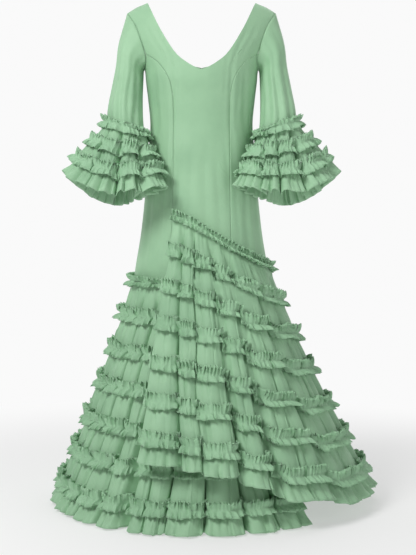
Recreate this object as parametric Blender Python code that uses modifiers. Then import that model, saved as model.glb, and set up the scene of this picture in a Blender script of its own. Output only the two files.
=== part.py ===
"""Flamenco dress: princess-seamed body, elbow sleeves with ruffled cuffs, wrap-over ruffled flounce.

Units are metres and +Z is up. The wearer faces -Y, so the wearer's left is at +X.
The origin is halfway between the two shoulder seams, where the wearer's shoulders hold the dress.
Heights in the tables are measured up from the lowest point of the hem.

The flounce is one long gathered piece that winds round the skirt. Its "turn" is the angle in
degrees from the front centre, growing towards the wearer's left. It starts right of the front
centre as the top layer, goes once round, and ends under its own start.
"""
import bpy
import bmesh
from math import asin, atan2, cos, degrees, hypot, radians, sin, sqrt
from mathutils import Vector

# ---------------------------------------------------------------- driving dimensions
SHOULDER_HEIGHT = 1.355      # hem to the middle of the shoulder seams
BODY_BOTTOM = 0.560          # lower edge of the body panels, hidden under the flounce
UNDERARM_HEIGHT = 1.190
WALL = 0.0016                # cloth wall of panels, sleeves and tiers
RUFFLE_WALL = 0.0020         # gathered strip, several layers of cloth deep
SEAM_GAP = 0.0003            # clear space between two pieces that are sewn edge to edge
SHOULDER_GAP = 0.0009        # half the space at the shoulder, where the walls meet at an angle
APPLIED_GAP = 0.0042         # from a surface to the middle of the cloth sewn on it
SHOULDER_ROUND = 0.170       # height over which front and back close to the shoulder seam
ARMHOLE_STEP = 0.0012        # sleeve ring stands this far out of the armhole
UNDERARM_STEP = 0.0022       # and this much more at the underarm
RUFFLE_WIDTH = 0.040         # finished width of a ruffle strip, edge to edge
RUFFLE_STAND = 0.012         # how far a ruffle's edges stand off the flounce
CUFF_RUFFLE_WIDTH = 0.036
CUFF_RUFFLE_STAND = 0.007
FLOUNCE_LENGTH = 0.650       # heading to hem along the cloth
CUFF_LENGTH = 0.170
CUFF_GAP = 0.0055            # from the sleeve's end to the cuff flounce gathered over it
SLEEVE_LENGTH = 0.230
PRESSED_FROM = 325           # from this turn on, the heading lies under the flounce's own start,
PRESSED = 0.50               # which holds its ruffle down to this share of its stand
BELL = 0.20                  # share of the flounce's spread that comes late, near the hem

ROWS = (0.0, 0.152, 0.305, 0.455, 0.615, 0.760, 0.905, 1.0)
CUFF_ROWS = (0.0, 0.35, 0.68, 1.0)


def table(columns, *rows):
    """Rows of numbers with named columns, sorted by the first column."""
    names = columns.split()
    return [dict(zip(names, row)) for row in rows]


BODY = table(
    "height half_width front back",
    (0.560, 0.195, 0.156, 0.173),
    (0.590, 0.190, 0.152, 0.168),
    (0.652, 0.181, 0.146, 0.160),
    (0.730, 0.168, 0.136, 0.150),
    (0.816, 0.158, 0.125, 0.141),
    (0.900, 0.151, 0.117, 0.128),
    (0.970, 0.145, 0.110, 0.112),
    (1.037, 0.1405, 0.105, 0.100),
    (1.100, 0.146, 0.114, 0.100),
    (1.150, 0.152, 0.126, 0.104),
    (1.190, 0.1565, 0.127, 0.106),
    (1.225, 0.171, 0.124, 0.105),
    (1.264, 0.195, 0.120, 0.103),
    (1.300, 0.208, 0.118, 0.100),
    (1.370, 0.235, 0.114, 0.096),
)
NECK_FRONT = table(
    "along x height",
    (0.00, 0.0000, 1.1680),
    (0.13, 0.0300, 1.1815),
    (0.34, 0.0705, 1.2155),
    (0.62, 0.1120, 1.2850),
    (1.00, 0.1490, 1.3695),
)
NECK_BACK = table(
    "along x height",
    (0.00, 0.0000, 1.2110),
    (0.20, 0.0400, 1.2225),
    (0.42, 0.0800, 1.2545),
    (0.68, 0.1190, 1.3080),
    (1.00, 0.1490, 1.3695),
)
SHOULDER = table(
    "along x height",
    (0.0, 0.1490, 1.3695),
    (0.5, 0.1775, 1.3580),
    (1.0, 0.2035, 1.3420),
)
PRINCESS = table(
    "along x height",
    (0.00, 0.0815, 0.5600),
    (0.25, 0.0765, 0.8000),
    (0.50, 0.0756, 1.0000),
    (0.65, 0.0763, 1.0836),
    (0.76, 0.0793, 1.1186),
    (0.86, 0.0899, 1.1565),
    (0.94, 0.1180, 1.1960),
    (1.00, 0.1515, 1.2218),
)
# Angle round the armhole: 0 at the shoulder tip, 90 at the front or back, 180 at the underarm.
ARMHOLE = table(
    "angle x height",
    (0, 0.2035, 1.3420),
    (30, 0.1945, 1.3255),
    (60, 0.1790, 1.3000),
    (90, 0.1650, 1.2640),
    (120, 0.1515, 1.2218),
    (150, 0.1500, 1.2010),
    (180, 0.1565, 1.1900),
)
PRINCESS_END = 120           # armhole angle where the princess seam starts
CENTRE_ROWS = 11             # rows of a centre panel, of which
SEAM_ROWS = 8                # this many run along the princess seam, as in the side panels
ARMHOLE_STOPS = (0, 40, 80, 120, 140, 160, 180)

SLEEVE = table(
    "along centre_x centre_y height tilt half_width half_depth",
    (0.2, 0.1930, -0.003, 1.220, 50, 0.0520, 0.0600),
    (0.4, 0.1975, -0.012, 1.170, 32, 0.0430, 0.0590),
    (0.6, 0.2030, -0.026, 1.115, 20, 0.0440, 0.0580),
    (0.8, 0.2070, -0.041, 1.060, 17, 0.0490, 0.0590),
    (1.0, 0.2055, -0.055, 1.018, 19, 0.0530, 0.0600),
)
# Cuff hem, by the angle round the sleeve: 0 outside, 90 in front, 180 inside, 270 behind.
CUFF_HEM = table(
    "angle x y height",
    (0, 0.372, -0.070, 0.904),
    (22, 0.352, -0.125, 0.880),
    (45, 0.310, -0.170, 0.863),
    (68, 0.262, -0.192, 0.842),
    (90, 0.222, -0.197, 0.843),
    (112, 0.180, -0.193, 0.846),
    (135, 0.142, -0.185, 0.850),
    (158, 0.106, -0.172, 0.856),
    (178, 0.088, -0.152, 0.857),
    (200, 0.104, -0.130, 0.850),
    (222, 0.142, -0.102, 0.838),
    (245, 0.184, -0.050, 0.824),
    (270, 0.232, 0.010, 0.815),
    (295, 0.285, 0.030, 0.828),
    (318, 0.330, 0.010, 0.855),
    (340, 0.360, -0.030, 0.885),
    (360, 0.372, -0.070, 0.904),
)
# Where the flounce's heading and hem run, and how far its hem stands out from the axis.
SPIRAL = table(
    "turn heading hem radius",
    (-33, 0.787, 0.180, 0.382),
    (-7, 0.758, 0.160, 0.394),
    (15, 0.726, 0.133, 0.410),
    (30, 0.700, 0.090, 0.425),
    (52, 0.668, 0.056, 0.450),
    (70, 0.650, 0.038, 0.466),
    (90, 0.642, 0.040, 0.482),
    (135, 0.632, 0.020, 0.470),
    (180, 0.622, 0.010, 0.450),
    (225, 0.614, 0.006, 0.430),
    (270, 0.607, 0.006, 0.412),
    (315, 0.603, 0.000, 0.398),
    (360, 0.592, 0.000, 0.392),
    (404, 0.580, 0.000, 0.392),
)
# Valleys between the flounce's big folds: turn at the heading, turn at the hem, depth at the hem.
START_EDGE = (-33, -24.5)
END_EDGE = (398, 404)
VALLEYS = table(
    "top hem depth",
    (-20, -7, 0.026), (-9, 0.5, 0.018), (10, 15.5, 0.028), (28, 28, 0.034),
    (48, 52, 0.034), (78, 81, 0.032), (102, 103, 0.038), (126, 126, 0.034),
    (148, 148, 0.040), (170, 170, 0.032), (191, 191, 0.038), (214, 214, 0.034),
    (236, 236, 0.040), (259, 259, 0.032), (285, 285, 0.034), (303, 302, 0.030),
    (318, 316, 0.030), (332, 329, 0.036), (346, 346.5, 0.034), (361, 361.5, 0.030),
    (374, 377, 0.034), (388, 391, 0.028),
)
# Valleys round each cuff, by the angle round the sleeve.
CUFF_VALLEYS = {
    "right": table("angle depth", (18, 0.016), (48, 0.016), (87, 0.024), (131, 0.020),
                   (172, 0.010), (208, 0.008), (242, 0.012), (276, 0.016), (314, 0.016)),
    "left": table("angle depth", (22, 0.016), (60, 0.022), (100, 0.018), (128, 0.018),
                  (168, 0.010), (204, 0.008), (240, 0.012), (280, 0.016), (324, 0.016)),
}

COLOURS = {
    "body": (0.352, 0.590, 0.368, 1.0),
    "sleeve": (0.360, 0.600, 0.376, 1.0),
    "tier": (0.368, 0.612, 0.384, 1.0),
    "ruffle": (0.330, 0.565, 0.350, 1.0),
}
ROUGHNESS = 0.62


# ---------------------------------------------------------------- reading the tables
def read(rows, key, column):
    """Value of a column at any key, on a smooth cubic through the table's rows."""
    keys = [next(iter(row.values())) for row in rows]
    values = [row[column] for row in rows]
    if key <= keys[0]:
        return values[0]
    if key >= keys[-1]:
        return values[-1]
    last = len(keys) - 1
    i = max(k for k in range(last) if keys[k] <= key)

    def slope(k):
        before = max(k - 1, 0)
        after = min(k + 1, last)
        return (values[after] - values[before]) / (keys[after] - keys[before])

    span = keys[i + 1] - keys[i]
    t = (key - keys[i]) / span
    return ((2 * t**3 - 3 * t**2 + 1) * values[i] + (t**3 - 2 * t**2 + t) * span * slope(i)
            + (3 * t**2 - 2 * t**3) * values[i + 1] + (t**3 - t**2) * span * slope(i + 1))


def mix(a, b, t):
    return a + (b - a) * t


def placed(x, y, height):
    """A point given by its height over the hem, in the dress's own frame."""
    return Vector((x, y, height - SHOULDER_HEIGHT))


# ---------------------------------------------------------------- body
def shoulder_line(x):
    """Height of the shoulder seam over a given distance from the centre."""
    neck, tip = SHOULDER[0], SHOULDER[-1]
    fall = (neck["height"] - tip["height"]) / (tip["x"] - neck["x"])
    return neck["height"] - (abs(x) - neck["x"]) * fall


def body_point(x, height, back=False):
    """Point of the body's cloth at a sideways distance and a height, on the front or the back."""
    half_width = read(BODY, height, "half_width")
    depth = read(BODY, height, "back" if back else "front")
    roundness = sqrt(max(0.0, 1.0 - (x / half_width) ** 2))
    rise = min(1.0, max(0.0, (shoulder_line(x) - height) / SHOULDER_ROUND))
    closing = sqrt(1.0 - (1.0 - rise) ** 2)
    y = depth * roundness * closing + mix(SHOULDER_GAP, SEAM_GAP, closing)
    return placed(x, y if back else -y, height)


def body_radius(turn, height):
    """Distance from the axis to the body's cloth, in the direction of a turn."""
    half_width = read(BODY, height, "half_width")
    facing = cos(radians(turn))
    depth = read(BODY, height, "front" if facing > 0 else "back")
    return 1.0 / hypot(sin(radians(turn)) / half_width, facing / depth)


def side_angle(x, height):
    """The angle round the body, 90 at the side seam, of a point given by its x."""
    return degrees(asin(min(1.0, x / read(BODY, height, "half_width"))))


def coons(bottom, top, inner, outer, u, v, hold=1.0):
    """Point of a patch between four edge curves; a high hold keeps the top's shape near the top."""
    w = v**hold
    edges = bottom(u) * (1 - w) + top(u) * w + inner(v) * (1 - u) + outer(v) * u
    corners = (bottom(0) * (1 - u) * (1 - w) + bottom(1) * u * (1 - w)
               + top(0) * (1 - u) * w + top(1) * u * w)
    return edges - corners


def eased(start, end, v, power):
    """From start to end in steps that grow shorter towards the end."""
    return mix(start, end, 1 - (1 - v)**power)


def curve(rows, t):
    """Point (x, height) of a table's curve at a share t of its length."""
    return Vector((read(rows, t, "x"), read(rows, t, "height")))


def princess(t, gap):
    """Point of the princess seam's line, moved square to it: towards the centre if positive."""
    step = 0.01
    run = curve(PRINCESS, min(t + step, 1)) - curve(PRINCESS, max(t - step, 0))
    run.normalize()
    return curve(PRINCESS, t) + Vector((-run.y, run.x)) * gap


def armhole(angle):
    """Point (x, height) of the armhole's edge, the same shape in front and behind."""
    return Vector((read(ARMHOLE, angle, "x"), read(ARMHOLE, angle, "height")))


def centre_outer(v):
    """Outer edge of a centre panel: up the princess seam, then up the armhole."""
    turn_in = SEAM_ROWS / CENTRE_ROWS
    if v <= turn_in:
        return princess(v / turn_in, SEAM_GAP)
    return armhole(PRINCESS_END * (1 - v) / (1 - turn_in))


def centre_patch(neck, u, v):
    """Point (x, height) of half a centre panel; u goes from the centre line to its outer edge."""
    neck_share = 0.72

    def top(u):
        if u < neck_share:
            return curve(neck, u / neck_share)
        return curve(SHOULDER, (u - neck_share) / (1 - neck_share))

    def bottom(u):
        return Vector((mix(0.0, centre_outer(0).x, u), BODY_BOTTOM))

    def inner(v):
        return Vector((0.0, eased(BODY_BOTTOM, neck[0]["height"], v, 2.0)))

    return coons(bottom, top, inner, centre_outer, u, v, hold=2.5)


def front_centre(u, v):
    across = 2 * u - 1
    flat = centre_patch(NECK_FRONT, abs(across), v)
    return body_point(flat.x if across > 0 else -flat.x, flat.y)


def back_centre(side):
    """Half of the centre back; the two halves meet at the centre back seam."""
    def surface(u, v):
        flat = centre_patch(NECK_BACK, u, v)
        x = max(flat.x, SEAM_GAP / 2)
        return body_point(side * x, flat.y, back=True)
    return surface


def side_panel(side, back):
    """Panel from the princess seam round to the side seam, under the armhole."""
    def surface(u, v):
        def inner(v):
            edge = princess(v, -SEAM_GAP)
            return Vector((side_angle(edge.x, edge.y), edge.y))

        def outer(v):
            return Vector((90, eased(BODY_BOTTOM, UNDERARM_HEIGHT, v, 1.6)))

        def top(u):
            edge = armhole(mix(PRINCESS_END, 180, u))
            stray = inner(1) - Vector((side_angle(*armhole(PRINCESS_END)), armhole(PRINCESS_END).y))
            return Vector((side_angle(edge.x, edge.y), edge.y)) + stray * (1 - u)

        def bottom(u):
            return Vector((mix(inner(0).x, 90, u), BODY_BOTTOM))

        angle, height = coons(bottom, top, inner, outer, u, v)
        x = read(BODY, height, "half_width") * sin(radians(angle))
        return body_point(side * x, height, back)
    return surface


# ---------------------------------------------------------------- sleeves and cuffs
def sleeve_ring(row, angle):
    """Point of a sleeve section, an ellipse whose plane leans by the row's tilt."""
    tilt = radians(row["tilt"])
    reach = row["half_width"] * cos(radians(angle))
    x = row["centre_x"] + reach * cos(tilt)
    y = row["centre_y"] - row["half_depth"] * sin(radians(angle))
    return Vector((x, y, row["height"] + reach * sin(tilt)))


def armhole_ring(angle):
    """The sleeve's top edge: the armhole stepped outwards, so that the two cloths are clear.

    It runs straight between the armhole's own corners, as the panels' edges do.
    """
    front = angle <= 180
    fold = angle if front else 360 - angle
    start = max(stop for stop in ARMHOLE_STOPS[:-1] if stop <= fold)
    end = ARMHOLE_STOPS[ARMHOLE_STOPS.index(start) + 1]
    ends = [armhole(stop) for stop in (start, end)]
    points = [body_point(edge.x, edge.y, back=not front) for edge in ends]
    point = points[0].lerp(points[1], (fold - start) / (end - start))
    under = (1 - cos(radians(angle))) / 2
    step = ARMHOLE_STEP + UNDERARM_STEP * under**3
    return Vector((point.x + step, point.y, point.z + SHOULDER_HEIGHT))


def sleeve(side):
    def surface(u, v):
        angle = 360 * u
        rings = [armhole_ring(angle)] + [sleeve_ring(row, angle) for row in SLEEVE]
        shares = [0.0] + [row["along"] for row in SLEEVE]
        rows = [dict(along=s, x=p.x, y=p.y, height=p.z) for s, p in zip(shares, rings)]
        return placed(side * read(rows, v, "x"), read(rows, v, "y"), read(rows, v, "height"))
    return surface


def cuff_point(side, angle, along, depth, out):
    """Point of a cuff flounce, drawn in by a fold's depth and moved out by a distance."""
    angle = angle % 360
    end = SLEEVE[-1]
    if along < 0:
        share = 1 + along * CUFF_LENGTH / SLEEVE_LENGTH
        end = {column: read(SLEEVE, share, column) for column in SLEEVE[0]}
    head = sleeve_ring(end, angle)
    hem = Vector([read(CUFF_HEM, angle, column) for column in ("x", "y", "height")])
    middle = Vector((end["centre_x"], end["centre_y"], end["height"]))
    ray = head - middle
    fall = (hem - head).normalized()
    tangent = Vector((-sin(radians(angle)), -cos(radians(angle)), 0))
    outward = fall.cross(tangent)
    if outward.dot(ray) < 0:
        outward = -outward
    outward.normalize()
    if along < 0:
        outward = ray.normalized()
    spot = head.lerp(hem, max(along, 0.0)) + outward * (CUFF_GAP + out - depth * max(along, 0.0)**0.7)
    return placed(side * spot.x, spot.y, spot.z)


def cuff_columns(valleys):
    """Columns round a cuff: a valley, the crest after it, and so on, with their depths."""
    columns = []
    for i, row in enumerate(valleys):
        following = valleys[(i + 1) % len(valleys)]["angle"] + (360 if i + 1 == len(valleys) else 0)
        columns.append((row["angle"], row["depth"]))
        columns.append(((row["angle"] + following) / 2, 0.0))
    columns.append((valleys[0]["angle"] + 360, valleys[0]["depth"]))
    return columns


# ---------------------------------------------------------------- flounce
def flounce_point(top_turn, hem_turn, along, depth, out):
    """Point of the wrapped flounce; along is 0 at its heading and 1 at its hem."""
    heading = read(SPIRAL, top_turn, "heading")
    share = max(along, 0.0)
    turn = mix(top_turn, hem_turn, share)
    start = body_radius(top_turn, heading) + APPLIED_GAP
    drop = heading - read(SPIRAL, hem_turn, "hem")
    spread = read(SPIRAL, hem_turn, "radius") - start
    bell = (1 - BELL) * share + BELL * share**2
    radius = start + spread * bell - depth * share**0.7
    height = heading - drop * share
    lean = atan2(spread, drop)
    if along < 0:
        height = heading - along * FLOUNCE_LENGTH
        radius = body_radius(top_turn, height) + APPLIED_GAP
        lean = 0.0
    pressed = min(1.0, max(0.0, (top_turn - PRESSED_FROM) / 30)) if share < ROWS[1] / 2 else 0.0
    out *= 1 - PRESSED * pressed
    radius += out * cos(lean)
    height += out * sin(lean)
    return placed(radius * sin(radians(turn)), -radius * cos(radians(turn)), height)


def flounce_columns():
    """Columns along the flounce: its start edge, then each valley and each crest."""
    columns = [(START_EDGE[0], START_EDGE[1], 0.0)]
    for row, following in zip(VALLEYS, VALLEYS[1:] + [None]):
        columns.append((row["top"], row["hem"], row["depth"]))
        if following:
            middle = (row["top"] + following["top"]) / 2
            columns.append((middle, (row["hem"] + following["hem"]) / 2, 0.0))
    columns.append((END_EDGE[0], END_EDGE[1], 0.0))
    return columns


# ---------------------------------------------------------------- making the solids
def material(name, kind):
    made = bpy.data.materials.new(name)
    made.use_nodes = True
    shader = made.node_tree.nodes["Principled BSDF"]
    shader.inputs["Base Color"].default_value = COLOURS[kind]
    shader.inputs["Roughness"].default_value = ROUGHNESS
    shader.inputs["Metallic"].default_value = 0.0
    return made


def cloth(name, kind, surface, across, along, wall=WALL, closed=False):
    """One piece of cloth: a grid laid on a surface, closed round if asked, and given its wall."""
    grid = bmesh.new()
    bmesh.ops.create_grid(grid, x_segments=across, y_segments=along, size=0.5)
    for vert in grid.verts:
        vert.co = surface(vert.co.x + 0.5, vert.co.y + 0.5)
    if closed:
        bmesh.ops.remove_doubles(grid, verts=grid.verts, dist=0.00001)
    mesh = bpy.data.meshes.new(name)
    grid.to_mesh(mesh)
    grid.free()
    mesh.materials.append(material(name + "_cloth", kind))
    piece = bpy.data.objects.new(name, mesh)
    garment.objects.link(piece)
    thick = piece.modifiers.new("wall", "SOLIDIFY")
    thick.thickness = wall
    thick.offset = 0.0
    thick.use_even_offset = True
    return piece


def strip(columns, place, first, last, outs):
    """Surface of a band between two rows; outs gives how far each of its rows stands out."""
    steps = len(columns) - 1
    bands = len(outs) - 1

    def surface(u, v):
        column = columns[round(u * steps)]
        return place(column, mix(first, last, v), outs[round(v * bands)])
    return surface


for old in list(bpy.data.objects):
    bpy.data.objects.remove(old)
garment = bpy.data.collections.new("flamenco_dress")
bpy.context.scene.collection.children.link(garment)

cloth("front_centre", "body", front_centre, 12, CENTRE_ROWS)
for name, side in (("left", 1), ("right", -1)):
    cloth(f"front_side_{name}", "body", side_panel(side, back=False), 3, SEAM_ROWS)
    cloth(f"back_centre_{name}", "body", back_centre(side), 4, CENTRE_ROWS)
    cloth(f"back_side_{name}", "body", side_panel(side, back=True), 3, SEAM_ROWS)
    cloth(f"sleeve_{name}", "sleeve", sleeve(side), 18, 5, closed=True)

    rounds = cuff_columns(CUFF_VALLEYS[name])

    def cuff_place(column, along, out, side=side):
        return cuff_point(side, column[0], along, column[1], out)

    edge = SEAM_GAP / CUFF_LENGTH
    for i, (start, end) in enumerate(zip(CUFF_ROWS, CUFF_ROWS[1:]), 1):
        band = strip(rounds, cuff_place, start + edge, end - edge, (0, 0))
        cloth(f"cuff_tier_{i}_{name}", "tier", band, len(rounds) - 1, 1, closed=True)
        half = CUFF_RUFFLE_WIDTH / 2 / CUFF_LENGTH
        outs = (APPLIED_GAP + CUFF_RUFFLE_STAND, APPLIED_GAP, APPLIED_GAP + CUFF_RUFFLE_STAND)
        band = strip(rounds, cuff_place, start - half, start + half, outs)
        cloth(f"cuff_ruffle_{i}_{name}", "ruffle", band, len(rounds) - 1, 2, RUFFLE_WALL, True)

folds = flounce_columns()


def flounce_place(column, along, out):
    return flounce_point(column[0], column[1], along, column[2], out)


edge = SEAM_GAP / FLOUNCE_LENGTH
half = RUFFLE_WIDTH / 2 / FLOUNCE_LENGTH
for i, (start, end) in enumerate(zip(ROWS, ROWS[1:]), 1):
    band = strip(folds, flounce_place, start + edge, end - edge, (0, 0))
    cloth(f"flounce_tier_{i}", "tier", band, len(folds) - 1, 1)
    outs = (APPLIED_GAP + RUFFLE_STAND, APPLIED_GAP, APPLIED_GAP + RUFFLE_STAND)
    band = strip(folds, flounce_place, start - half, start + half, outs)
    cloth(f"flounce_ruffle_{i}", "ruffle", band, len(folds) - 1, 2, RUFFLE_WALL)
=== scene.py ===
# %% [markdown]
# A ruffled flamenco dress, filled out as if someone wore it.
# The real dress is cotton poplin. A plain fitted body is cut in panels that follow the bust and
# the waist, two sleeves flare to the elbow, and everything below is gathers: a cuff of three
# tiers on each sleeve and one long flounce of seven tiers that winds round the skirt and ends
# under its own start. A double-edged ruffle hides every seam between two tiers.
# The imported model's panels, tiers and ruffles are plain walls in the right place. Each of them
# is remade here as thin cloth with its folds, gathers and pleats.

import bmesh
import bpy
import numpy as np
from math import pi, radians
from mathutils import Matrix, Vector


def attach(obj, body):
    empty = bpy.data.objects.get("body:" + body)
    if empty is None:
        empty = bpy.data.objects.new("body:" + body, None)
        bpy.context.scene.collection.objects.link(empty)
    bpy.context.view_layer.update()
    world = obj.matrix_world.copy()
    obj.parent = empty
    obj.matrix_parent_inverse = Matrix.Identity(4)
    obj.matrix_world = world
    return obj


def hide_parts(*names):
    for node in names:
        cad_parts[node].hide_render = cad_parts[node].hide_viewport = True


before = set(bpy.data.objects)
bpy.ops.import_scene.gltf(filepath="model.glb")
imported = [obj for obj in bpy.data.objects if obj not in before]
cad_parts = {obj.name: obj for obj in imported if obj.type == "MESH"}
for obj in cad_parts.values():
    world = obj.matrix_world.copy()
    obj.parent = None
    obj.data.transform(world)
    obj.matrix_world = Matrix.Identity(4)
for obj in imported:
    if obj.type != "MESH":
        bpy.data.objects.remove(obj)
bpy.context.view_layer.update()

# %% [markdown]
# The frame's origin lies between the shoulder seams, but a dressmaker measures a skirt up from
# the hem. Every table below therefore gives heights over the hem, and each point is moved into
# the frame by taking the shoulders' height away. A table is a few rows with named columns, and
# any value between two rows is read from a smooth cubic curve, so a dozen rows describe a whole
# body.

# %% Tables read as smooth curves
SHOULDER_HEIGHT = 1.355


def table(columns, *rows):
    """Columns of numbers by name; the others are read by the first."""
    return dict(zip(columns.split(), np.array(rows, float).T))


def read(rows, key, column):
    """A column's values at any keys, on a cubic through the table's rows."""
    keys = next(iter(rows.values()))
    values = rows[column]
    slopes = np.empty(len(keys))
    slopes[1:-1] = (values[2:] - values[:-2]) / (keys[2:] - keys[:-2])
    slopes[0] = (values[1] - values[0]) / (keys[1] - keys[0])
    slopes[-1] = (values[-1] - values[-2]) / (keys[-1] - keys[-2])
    key = np.clip(key, keys[0], keys[-1])
    i = np.clip(np.searchsorted(keys, key, side="right") - 1, 0, len(keys) - 2)
    span = keys[i + 1] - keys[i]
    t = (key - keys[i]) / span
    return ((2 * t**3 - 3 * t**2 + 1) * values[i] + (t**3 - 2 * t**2 + t) * span * slopes[i]
            + (3 * t**2 - 2 * t**3) * values[i + 1] + (t**3 - t**2) * span * slopes[i + 1])


def mix(a, b, t):
    return a + (b - a) * t


def smooth(t):
    """0 before 0, 1 after 1, and a soft step between."""
    t = np.clip(t, 0.0, 1.0)
    return t * t * (3 - 2 * t)


def uneven(position, pitch, seed):
    """A soft random wave between -1 and 1 that changes about once every pitch."""
    knots = np.random.default_rng(seed).uniform(-1, 1, 4096)
    steps = np.asarray(position) / pitch + 64
    i = np.floor(steps).astype(int) % 4095
    return mix(knots[i], knots[i + 1], smooth(steps - np.floor(steps)))


# %% [markdown]
# All the cloth here has one topology: a grid. bmesh makes the flat grid, a function says where
# each of its points goes, and a Solidify modifier gives the cloth its thickness. That is how a
# dressmaker thinks too, since every piece starts as a flat rectangle or panel. So before any
# shape comes the cloth's thickness.

# %% How thick the cloth is
CLOTH = 0.0008

# %% [markdown]
# The grid's own distances do two jobs: they lay out a UV map in metres, for the weave, and they
# tell how far each point is from a hemmed edge. A tube's first and last columns are merged.

# %% Cloth from points
made = []


def lengths_along(points, axis):
    """Distance from the first point to each point of a grid, along one axis."""
    steps = np.linalg.norm(np.diff(points, axis=axis), axis=2)
    start = np.zeros_like(np.take(steps, [0], axis=axis))
    return np.concatenate([start, np.cumsum(steps, axis=axis)], axis=axis)


def travelled(line):
    """Distance covered from the first point of a line to each of its points."""
    return np.concatenate([[0], np.cumsum(np.linalg.norm(np.diff(line, axis=0), axis=1))])


def cloth(name, points, nodes, finish, hems="", closed=False):
    """Makes the piece whose grid points are given as an array [across, along, xyz]."""
    across, along = points.shape[0] - 1, points.shape[1] - 1
    grid = bmesh.new()
    bmesh.ops.create_grid(grid, x_segments=across, y_segments=along, size=0.5)
    mesh = bpy.data.meshes.new(name)
    grid.to_mesh(mesh)
    grid.free()
    flat = np.empty(len(mesh.vertices) * 3)
    mesh.vertices.foreach_get("co", flat)
    flat = flat.reshape(-1, 3)
    i = np.rint((flat[:, 0] + 0.5) * across).astype(int)
    j = np.rint((flat[:, 1] + 0.5) * along).astype(int)
    mesh.vertices.foreach_set("co", points[i, j].ravel())
    over, down = lengths_along(points, 0), lengths_along(points, 1)
    corner = np.empty(len(mesh.loops), int)
    mesh.loops.foreach_get("vertex_index", corner)
    weave = np.stack([over.mean(axis=1)[i], down.mean(axis=0)[j]], axis=1)
    mesh.uv_layers.new(name="cloth").data.foreach_set("uv", weave[corner].ravel())
    edges = {"start": over, "end": over[-1:] - over, "top": down, "bottom": down[:, -1:] - down}
    hem = np.full(points.shape[:2], 1.0)
    for side in hems.split():
        hem = np.minimum(hem, edges[side])
    mesh.attributes.new("hem", "FLOAT", "POINT").data.foreach_set("value", hem[i, j])
    if closed:
        ring = bmesh.new()
        ring.from_mesh(mesh)
        bmesh.ops.remove_doubles(ring, verts=ring.verts, dist=0.00002)
        ring.to_mesh(mesh)
        ring.free()
    mesh.shade_smooth()
    mesh.materials.append(finish)
    piece = bpy.data.objects.new(name, mesh)
    bpy.context.scene.collection.objects.link(piece)
    thick = piece.modifiers.new("cloth", "SOLIDIFY")
    thick.thickness = CLOTH
    thick.offset = 0.0
    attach(piece, "root")
    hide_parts(*nodes)
    made.append(piece)


# %% [markdown]
# Poplin is a fine plain weave with a slight sheen. The colour is a soft sage green that shifts a
# little from place to place, as piece-dyed cotton does. The weave itself is two crossed waves on
# the UV map, 0.5 mm apart, used only as bump. A broader noise gives the faint crumples that
# ironing leaves, and the hem attribute raises a narrow doubled edge with its line of stitches.
# Sheen and roughness are plain numbers on the shader, so that the export keeps them.

# %% The poplin
GREEN = (0.318, 0.535, 0.335)
DEEP_GREEN = (0.275, 0.480, 0.295)
WEAVE_PITCH = 0.0005
HEM_WIDTH = 0.006


def dial(node, settings):
    """Sets a node's plain numbers and colours by the names of their sockets."""
    for socket, value in settings.items():
        node.inputs[socket].default_value = value


def poplin(name, light, dark, crumple):
    """Sage poplin; crumple is the height of its faint creases, in metres."""
    finish = bpy.data.materials.new(name)
    finish.use_nodes = True
    nodes, links = finish.node_tree.nodes, finish.node_tree.links
    shader = nodes["Principled BSDF"]
    dial(shader, {"Roughness": 0.62, "Specular IOR Level": 0.35, "Sheen Weight": 0.22,
                  "Sheen Roughness": 0.45, "Sheen Tint": (0.80, 1.0, 0.84, 1.0)})
    place = nodes.new("ShaderNodeTexCoord")
    dye = nodes.new("ShaderNodeTexNoise")
    dial(dye, {"Scale": 9.0, "Detail": 3.0})
    links.new(place.outputs["Object"], dye.inputs["Vector"])
    spread = nodes.new("ShaderNodeMapRange")
    dial(spread, {"From Min": 0.30, "From Max": 0.55})
    links.new(dye.outputs["Fac"], spread.inputs["Value"])
    tone = nodes.new("ShaderNodeMix")
    tone.data_type = "RGBA"
    dial(tone, {6: (*dark, 1.0), 7: (*light, 1.0)})
    links.new(spread.outputs["Result"], tone.inputs[0])
    links.new(tone.outputs[2], shader.inputs["Base Color"])

    height = []
    for direction in ("X", "Y"):
        thread = nodes.new("ShaderNodeTexWave")
        thread.bands_direction = direction
        dial(thread, {"Scale": 1 / WEAVE_PITCH / 20, "Distortion": 0.6})
        links.new(place.outputs["UV"], thread.inputs["Vector"])
        height.append(thread.outputs["Fac"])
    weave = nodes.new("ShaderNodeMath")
    weave.operation = "MAXIMUM"
    for thread, socket in zip(height, weave.inputs):
        links.new(thread, socket)
    creases = nodes.new("ShaderNodeTexNoise")
    dial(creases, {"Scale": 34.0, "Detail": 2.0, "Distortion": 0.7})
    links.new(place.outputs["Object"], creases.inputs["Vector"])
    edge = nodes.new("ShaderNodeAttribute")
    edge.attribute_name = "hem"
    doubled = nodes.new("ShaderNodeMapRange")
    doubled.interpolation_type = "SMOOTHSTEP"
    dial(doubled, {"From Min": HEM_WIDTH * 1.25, "From Max": HEM_WIDTH * 0.85})
    links.new(edge.outputs["Fac"], doubled.inputs["Value"])

    target = shader.inputs["Normal"]
    for raised, strength, distance in ((doubled.outputs["Result"], 0.8, 0.0008),
                                       (creases.outputs["Fac"], 0.7, crumple),
                                       (weave.outputs["Value"], 0.25, 0.00006)):
        bump = nodes.new("ShaderNodeBump")
        dial(bump, {"Strength": strength, "Distance": distance})
        links.new(raised, bump.inputs["Height"])
        links.new(bump.outputs["Normal"], target)
        target = bump.inputs["Normal"]
    return finish


body_poplin = poplin("body_poplin", GREEN, DEEP_GREEN, 0.0016)
flounce_poplin = poplin("flounce_poplin", (0.330, 0.555, 0.348), DEEP_GREEN, 0.0022)
ruffle_poplin = poplin("ruffle_poplin", (0.318, 0.540, 0.338), DEEP_GREEN, 0.0018)
print("finishes", [m.name for m in (body_poplin, flounce_poplin, ruffle_poplin)])

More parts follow.
